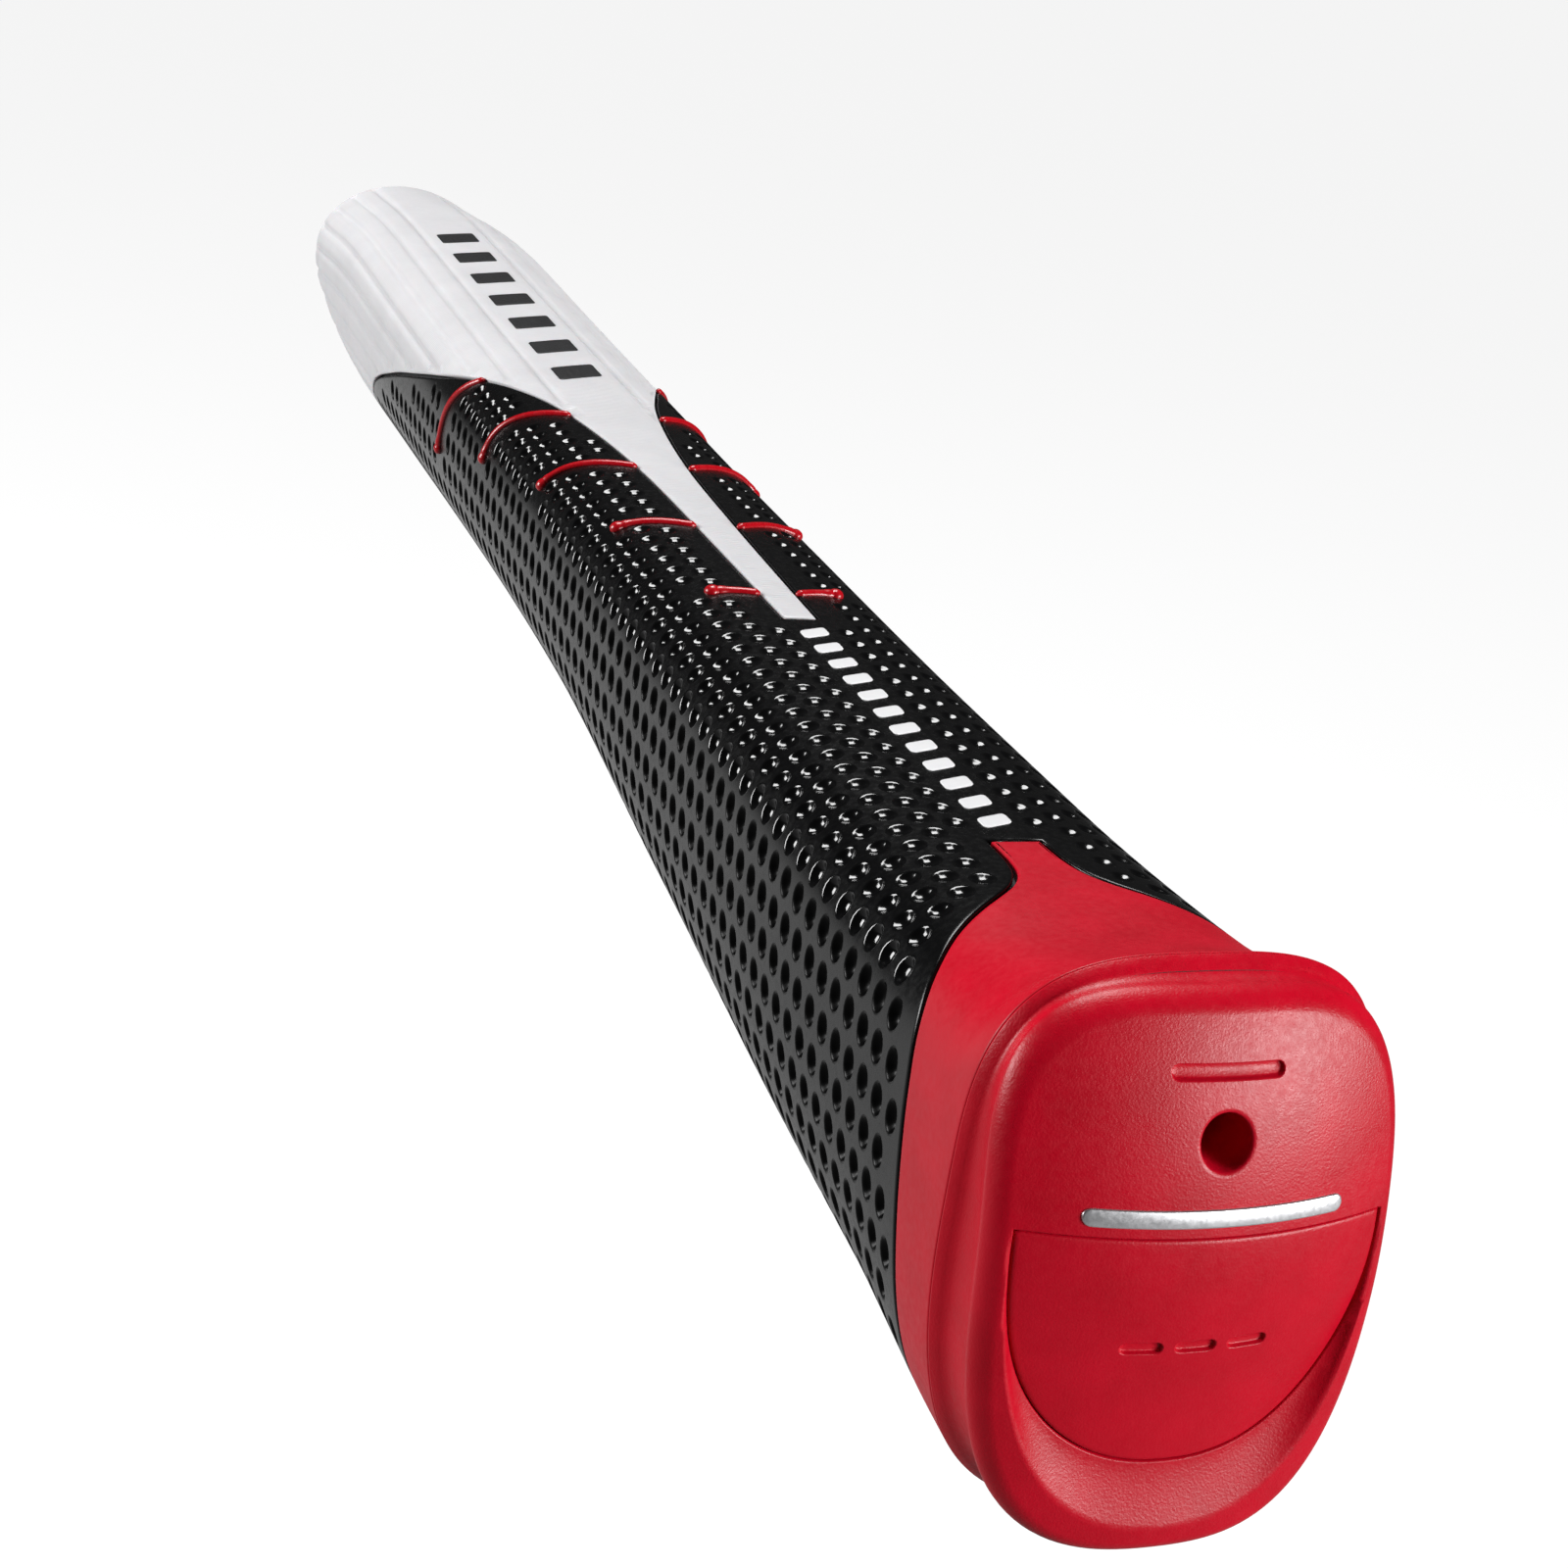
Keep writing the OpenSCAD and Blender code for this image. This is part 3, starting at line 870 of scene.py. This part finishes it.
class Builder:
    """Collects points and faces, ring by ring. Its functions called at turn flat places and a
    depth into points."""

    def __init__(self):
        self.points = []
        self.faces = []
        self.normals = []

    def add(self, points, normals=None):
        """Adds points and returns their ids."""
        first = len(self.points)
        unknown = [(math.nan,) * 3] * len(points)
        self.points += [tuple(p) for p in points]
        self.normals += unknown if normals is None else [tuple(n) for n in normals]
        return list(range(first, len(self.points)))

    def rings(self, places, previous=None):
        """Adds rings of points, each joined to the one before. Returns the first and the last."""
        first = None
        for points in places:
            ring = self.add(points)
            first = first or ring
            if previous:
                self.faces += bridge(previous, ring)
            previous = ring
        return first, previous

    def wall(self, loop, steps, at, previous=None):
        """Rings along a loop, each as far inside it and as deep as its step says."""
        return self.rings([at(inset(loop, d), depth) for d, depth in steps], previous)

    def cover(self, loops, known, at, depth, spacing, lines=(), front=None):
        """Fills inside the first loop and outside the others. The first points' ids are known.
        Returns the ids along each loop."""
        flat, faces, source = filled(loops, spacing, lines)
        ids = self.add(at(flat, depth), front_normals(flat, front) if front else None)
        for i, index in enumerate(known):
            ids[source[i]] = index
        self.faces += [tuple(ids[v] for v in f) for f in faces.tolist()]
        ends = np.cumsum([0] + [len(loop) for loop in loops])
        return [[ids[source[i]] for i in range(a, b)] for a, b in zip(ends, ends[1:])]

    def piece(self, name, material, replaces, slot):
        """Makes the piece from all the faces, without the points that none of them uses."""
        used = sorted({v for f in self.faces for v in f})
        new = {v: i for i, v in enumerate(used)}
        faces = [tuple(new[v] for v in f) for f in self.faces]
        points, normals = np.array(self.points)[used], np.array(self.normals)[used]
        add_piece(name, points, faces, material, replaces, normals)


def flat_back(flat, y):
    """Places in x and z as points on a flat plane."""
    return np.stack([flat[:, 0], np.full(len(flat), y), flat[:, 1]], axis=1)


def front_normals(flat, front):
    """Outward normals of a surface whose y is given by a function of x and z."""
    e = 0.04
    x, z = flat[:, 0], flat[:, 1]
    slope_x = (front(x + e, z) - front(x - e, z)) / (2 * e)
    slope_z = (front(x, z + e) - front(x, z - e)) / (2 * e)
    n = np.stack([slope_x, -np.ones(len(x)), slope_z], axis=1)
    return n / np.linalg.norm(n, axis=1)[:, None]


def behind(front):
    """The function that turns places in x and z, and a depth behind a front, into points."""
    def at(flat, depth):
        y = front(flat[:, 0], flat[:, 1]) + depth
        return np.stack([flat[:, 0], np.broadcast_to(y, len(flat)), flat[:, 1]], axis=1)

    return at


def face_front(x, z):
    return face_y(x, z) + bevel_recess(x, z)


def plate_front(x, z):
    return face_y(x, z) + plate_recess(z)


def capsule(x0, x1, z, radius):
    """Loop round a bar with round ends, as x and z."""
    turn = np.linspace(-math.pi / 2, math.pi / 2, 9)
    right = np.stack([x1 - radius + radius * np.cos(turn), z + radius * np.sin(turn)], axis=1)
    left = np.stack([x0 + radius - radius * np.cos(turn), z - radius * np.sin(turn)], axis=1)
    return even_loop(np.vstack([right, left]), 0.25)


# A plain sunk bar above the vent, three short ones on the plate, and the raised one between them,
# each from one x to another, with its z and radius
SUNK_BAR = (-3.9, 3.9, 9.6, 0.55)
PLATE_BARS = [(x - 1.5, x + 1.5, -7.5, 0.5) for x in (-3.6, 0, 3.6)]
BADGE_BAR = (-8.8, 8.8, 1.25, 0.55)
BADGE_ROOT, BADGE_PROUD = 0.3, 0.15


def sink_bar(b, loop, ids, front):
    """Rounded walls and floor of a shallow sunk bar, whose edge is already there."""
    at = behind(front)
    steps = [(0.07, 0.03), (0.12, 0.12), (0.15, 0.28), (0.22, 0.33)]
    last = b.wall(loop, steps, at, ids)[1]
    b.cover([inset(loop, 0.22)], last, at, 0.34, 0.4)


def cap_wall(angles):
    """Rings from the cap's flat back over its band and hollow wall to the rounded rim."""
    def band(y, depth):
        return around(angles, body_reach(RIDGE_Y, angles, depth), y)

    rings = [band(0, SKIN_T), band(RIDGE_Y - 0.01, SKIN_T), band(RIDGE_Y, 0.12),
             band(RIDGE_Y - 0.03, 0.05), band(RIDGE_Y - 0.14, 0.06)]
    at = behind(face_y)
    start = band(RIDGE_Y - 0.7, 0.5)
    end = at(rim(angles), ROUND_H)
    outward = around(angles, 1, 0)
    for t in np.linspace(0, 1, 13):
        hollow = 0.42 * t ** 0.7 * (1 - t) * np.linalg.norm(end - start, axis=1)[:, None]
        rings.append(start + (end - start) * t - outward * hollow)
    for turn in np.radians(range(10, 90, 10)):
        rings.append(at(rim(angles, ROUND_D * (1 - math.cos(turn))), ROUND_H * (1 - math.sin(turn))))
    return rings


def crease_lines(outline, pocket):
    """Lines along and beside the bevel's crisp edge, where they lie on the face."""
    lines = []
    for scale in (0.985, 1.0, 1.015):
        line = (bevel_edge() - [0, PLATE_TOP]) * scale + [0, PLATE_TOP]
        line = line[inside_loop(line, outline * 0.985) & ~inside_loop(line, inset(pocket, -0.2))]
        runs = np.split(line, np.where(np.hypot(*np.diff(line, axis=0).T) > 1.5)[0] + 1)
        lines += [r for r in runs if len(r) > 2]
    return lines


def make_cap_face(material):
    """Band and wall from the ridge to the rim, domed face, vent, and the plate's pocket."""
    sectors = 220
    angles = np.arange(sectors) * 2 * math.pi / sectors
    turn = np.arange(40) * 2 * math.pi / 40
    circle = np.stack([np.cos(turn), np.sin(turn)], axis=1)
    b = Builder()

    def vent(d):
        return circle * (VENT_R + d) + np.array([0, VENT_Z])

    back, last = b.rings(cap_wall(angles))
    outline, pocket, bar = rim(angles, ROUND_D), plate_loop(-0.12), capsule(*SUNK_BAR)
    edges = b.cover([outline, vent(0.35), pocket, bar], [], behind(face_front), 0, 0.55,
                    crease_lines(outline, pocket), face_front)
    b.faces += bridge(last, edges[0])
    # Vent, with a rounded edge, right through the cap
    steps = [(0.15, 0.03), (0.05, 0.1), (0, 0.24), (-0.02, 1.5), (-0.05, 3.5)]
    rings = [behind(face_y)(vent(d), depth) for d, depth in steps]
    hole = vent(-0.05)
    rings.append(flat_back(hole, 0))
    vent_back = b.rings(rings, edges[1])[1]
    # Pocket for the plate
    at = behind(face_front)
    last = b.wall(pocket, [(0.06, 0.02), (0.11, 0.09), (0.12, 0.25), (0.12, 2.2)], at, edges[2])[1]
    b.cover([inset(pocket, 0.12)], last, at, 2.2, 1.6)
    sink_bar(b, bar, edges[3], face_front)
    b.cover([np.array(b.points[:sectors])[:, [0, 2]], hole], back + vent_back, flat_back, 0, 2.5)
    b.piece("cap_face_dome", material, ["cap_face"], "cap_red")


def make_size_plate(material):
    """Plate set into the pocket, with a rounded edge and three plain sunk bars."""
    b = Builder()
    at = behind(plate_front)
    loop = plate_loop(0.1)
    last = b.wall(loop, [(0, 2.0), (0, 0.16), (0.04, 0.06), (0.12, 0.01), (0.3, 0)], at)[1]
    bars = [capsule(*bar) for bar in PLATE_BARS]
    edges = b.cover([inset(loop, 0.3)] + bars, last, at, 0, 0.6, front=plate_front)
    for bar, edge in zip(bars, edges[1:]):
        sink_bar(b, bar, edge, plate_front)
    b.cover([loop], range(len(loop)), at, 2.0, 2.5)
    b.piece("size_plate_disc", material, ["size_plate"], "plate_red")


def make_badge(material):
    """Plain raised bar with rounded ends, following the face."""
    b = Builder()
    at = behind(face_y)
    loop = capsule(*BADGE_BAR)
    last = b.wall(loop, [(0, BADGE_ROOT), (0, 0.07 - BADGE_PROUD), (0.04, 0.02 - BADGE_PROUD),
                         (0.12, -BADGE_PROUD)], at)[1]
    b.cover([inset(loop, 0.12)], last, at, -BADGE_PROUD, 0.4, front=face_y)
    b.cover([loop], range(len(loop)), at, BADGE_ROOT, 0.6)
    b.piece("cap_badge_plain", material, ["cap_badge_bar"], "silver")


# ---------------------------------------------------------------- bars, ribs, collar and core
def rounded_corners(corners, radius):
    """A closed loop through the corners, each rounded off."""
    corners = np.array(corners, float)
    loop = []
    for p, before, after in zip(corners, np.roll(corners, 1, axis=0), np.roll(corners, -1, axis=0)):
        a = p + radius * (before - p) / np.linalg.norm(before - p)
        c = p + radius * (after - p) / np.linalg.norm(after - p)
        for t in np.linspace(0, 1, 5):
            loop.append((1 - t) ** 2 * a + 2 * t * (1 - t) * p + t * t * c)
    return np.array(loop)


def make_bars(name, row, material, replaces, slot):
    """Row of plain slanted bars printed on the top."""
    first, pitch, count, w, l, slant = row
    b = Builder()
    for i in range(count):
        y = first + i * pitch
        corners = [(-w / 2, y - l / 2 - slant), (w / 2, y - l / 2 + slant),
                   (w / 2, y + l / 2 + slant), (-w / 2, y + l / 2 - slant)]
        loop = even_loop(rounded_corners(corners, 0.45), 0.25)
        steps = [(0, 0.1), (0, -0.03), (0.04, -0.07), (0.14, -0.08)]
        bottom, top = b.wall(loop, steps, on_sheet)
        b.cover([inset(loop, 0.14)], top, on_sheet, -0.08, 0.5)
        b.cover([loop], bottom, on_sheet, 0.1, 0.5)
    b.piece(name, material, [replaces], slot)


def make_rib(n, side, material):
    """Raised cord that leaves the white edge, curves over the corner and ends in a bulb."""
    s, y = rib_path(n)
    corners = 14
    run = run_along(np.stack([s, y], axis=1))
    left = run[-1] - run
    bulb_r, cord_r = 0.72, 0.44
    bulb = np.sqrt(np.clip(bulb_r ** 2 - (left - bulb_r) ** 2, 1e-4, None))
    neck = cord_r + 0.12 * np.exp(-((left - 2 * bulb_r) / 0.5) ** 2)
    size = np.maximum(np.where(left < 2 * bulb_r, bulb, 0), np.where(left > bulb_r, neck, 0))
    size *= np.clip(0.35 + run / 0.6, 0, 1)
    ds, dy = np.gradient(s), np.gradient(y)
    length = np.hypot(ds, dy)
    across = np.stack([-dy / length, ds / length], axis=1)
    turn = np.arange(corners) * 2 * math.pi / corners
    rings = []
    for i in range(len(s)):
        u = size[i] * np.cos(turn)
        height = 0.85 * size[i] * np.sin(turn)
        where_s = s[i] + across[i, 0] * u
        where_y = y[i] + across[i, 1] * u
        rings.append(place(side * where_s, where_y, -height))
    name = f"rib_{'left' if side < 0 else 'right'}_{n}"
    swept_piece(name + "_cord", rings, material, [name], capped=True)


def body_ring(y, depth=None, radius=None):
    """Ring round the bore's axis, at a depth under the body's surface or with a radius."""
    a = np.arange(144) * 2 * math.pi / 144
    return around(a, radius if depth is None else body_reach(y, a, depth), y)


def make_mouth_ring(material):
    """Rounded collar, with a soft lip where it meets the skin."""
    rounding = [(0.06, 0.8), (0.06, 0.12), (0.12, 0.04), (0.3, 0.03), (0.8, 0.12), (1.4, 0.3),
                (2.0, 0.52), (2.6, 0.8), (3.1, 1.08), (3.5, 1.33), (3.8, 1.55), (4.0, 1.8)]
    bore = [(BODY_LENGTH, 0.3), (BODY_LENGTH - 0.1, 0.08), (BODY_LENGTH - 0.4, 0), (RING_Y + 0.06, 0)]
    rings = [body_ring(RING_Y + up, depth=d) for up, d in rounding]
    rings += [body_ring(y, radius=BORE_R + out) for y, out in bore]
    swept_piece("mouth_collar", rings, material, ["mouth_ring"])


def make_core(material):
    """Core under the skins, with the shaft's bore through it."""
    ys = RING_Y * np.linspace(0, 1, 60) ** 1.5
    rings = [body_ring(y, depth=SKIN_T + 0.02) for y in ys]
    rings += [body_ring(y, radius=BORE_R) for y in ys[::-1]]
    swept_piece("core_tube", rings, material, ["underlisting"])


# ---------------------------------------------------------------- stage, light and camera
# In metres: how far the floor is below the grip, half its width, and the pool of light on it
FLOOR_DROP, FLOOR_HALF = 0.22, 60.0
POOL_X, POOL_Y, POOL_R = -0.05, 0.95, 0.9
# Brightness of the floor and the world where the camera sees them
PAPER = 0.9


def area_light(name, place_at, target, size, power):
    light = bpy.data.lights.new(name, "AREA")
    light.shape = "RECTANGLE"
    light.size, light.size_y = size
    light.energy = power
    lamp = new_object(name, light)
    lamp.location = place_at
    lamp.rotation_euler = (target - place_at).to_track_quat("-Z", "Y").to_euler()
    lamp.visible_camera = False


def seen_value(tree, unseen, seen):
    """One value for rays straight from the camera, and another for all the rest."""
    path = tree.nodes.new("ShaderNodeLightPath")
    value = tree.nodes.new("ShaderNodeMapRange")
    value.inputs["To Min"].default_value = unseen
    value.inputs["To Max"].default_value = seen
    tree.links.new(path.outputs["Is Camera Ray"], value.inputs["Value"])
    return value


def pool_of_light(tree, socket):
    """The floor lights the grip mostly from one round pool, beyond the mouth."""
    where = tree.nodes.new("ShaderNodeTexCoord")
    mapping = tree.nodes.new("ShaderNodeMapping")
    mapping.inputs["Location"].default_value = (-POOL_X / POOL_R, -POOL_Y / POOL_R, 0)
    mapping.inputs["Scale"].default_value = (1 / POOL_R, 1 / POOL_R, 0)
    pool = tree.nodes.new("ShaderNodeTexGradient")
    pool.gradient_type = "SPHERICAL"
    strength = tree.nodes.new("ShaderNodeMapRange")
    strength.inputs["To Min"].default_value = 0.03
    strength.inputs["To Max"].default_value = 0.65
    tree.links.new(where.outputs["Object"], mapping.inputs["Vector"])
    tree.links.new(mapping.outputs["Vector"], pool.inputs["Vector"])
    tree.links.new(pool.outputs["Fac"], strength.inputs["Value"])
    tree.links.new(strength.outputs["Result"], socket)


def make_stage():
    """Plain pale floor well below the grip, and plain soft studio light."""
    mesh = bpy.data.meshes.new("floor")
    z = CAD_BOX[0][2] - FLOOR_DROP
    corners = [(x * FLOOR_HALF, y * FLOOR_HALF, z) for x, y in ((-1, -1), (1, -1), (1, 1), (-1, 1))]
    mesh.from_pydata(corners, [], [(0, 1, 2, 3)])
    floor = new_object("floor", mesh)
    material = plain("floor_paper", (0.15, 0.15, 0.15), 0.9, Specular_IOR_Level=0.0)
    tree, shader = nodes_of(material)
    shader.inputs["Emission Color"].default_value = (1, 1, 1, 1)
    value = seen_value(tree, 0, PAPER)
    pool_of_light(tree, value.inputs["To Min"])
    tree.links.new(value.outputs["Result"], shader.inputs["Emission Strength"])
    mesh.materials.append(material)
    world = bpy.data.worlds.new("studio")
    bpy.context.scene.world = world
    world.use_nodes = True
    tree = world.node_tree
    background = tree.nodes["Background"]
    background.inputs["Color"].default_value = (1, 1, 1, 1)
    value = seen_value(tree, 0.03, PAPER)
    tree.links.new(value.outputs["Result"], background.inputs["Strength"])
    bpy.context.scene.view_settings.view_transform = "Standard"


def make_lights():
    """A box high behind the mouth for the top, one on the left, and one in front on the right."""
    c = Vector((0, 0.05, 0))
    area_light("top_box", c + Vector((0.05, 0.36, 0.72)), c, (0.36, 0.34), 6.2)
    area_light("left_box", c + Vector((-0.9, 0.4, 0.22)), c, (0.5, 0.36), 10)
    area_light("front_right", c + Vector((0.68, -0.78, 0.2)), c, (0.6, 0.28), 14)


def make_camera():
    """Camera at the photograph's viewing angle."""
    camera = bpy.data.cameras.new("camera")
    camera.sensor_width = 36
    camera.lens = 57.27
    camera.shift_x = -0.0032
    camera.shift_y = -0.0049
    camera.clip_start = 0.005
    holder = new_object("camera", camera)
    right = Vector((0.937, -0.3176, 0.1453)).normalized()
    up = Vector((-0.006, 0.4014, 0.9159))
    back = right.cross(up).normalized()
    up = back.cross(right).normalized()
    turn = Matrix((right, up, back)).transposed().to_4x4()
    holder.matrix_world = Matrix.Translation(Vector((-75.66, -115.23, 76.65)) * MM) @ turn
    bpy.context.scene.camera = holder


def build():
    red_cap = cap_red("cap_red_smooth", 0.42, 0.004)
    red_face = cap_red("cap_red_grained", 0.36, 0.021)
    red_plate = cap_red("plate_red_grained", 0.36, 0.018)
    white = white_rubber()
    red_rib = rib_red()
    make_core(core_rubber())
    make_mouth_ring(white)
    make_black_skin(black_rubber())
    make_white_skin(white)
    make_back_seam(seam_rubber(), white)
    make_cap_skirt(red_cap)
    make_cap_face(red_face)
    make_size_plate(red_plate)
    make_badge(silver())
    make_bars("strip_bars_print", STRIP_BARS, print_ink("white_ink", (0.75, 0.75, 0.76)),
              "strip_bars", "white_print")
    make_bars("lower_bars_print", LOWER_BARS, print_ink("black_ink", (0.01, 0.01, 0.011)),
              "lower_bars", "black_print")
    for n in range(1, 6):
        for side in (-1, 1):
            make_rib(n, side, red_rib)


make_camera()
build()
make_stage()
make_lights()
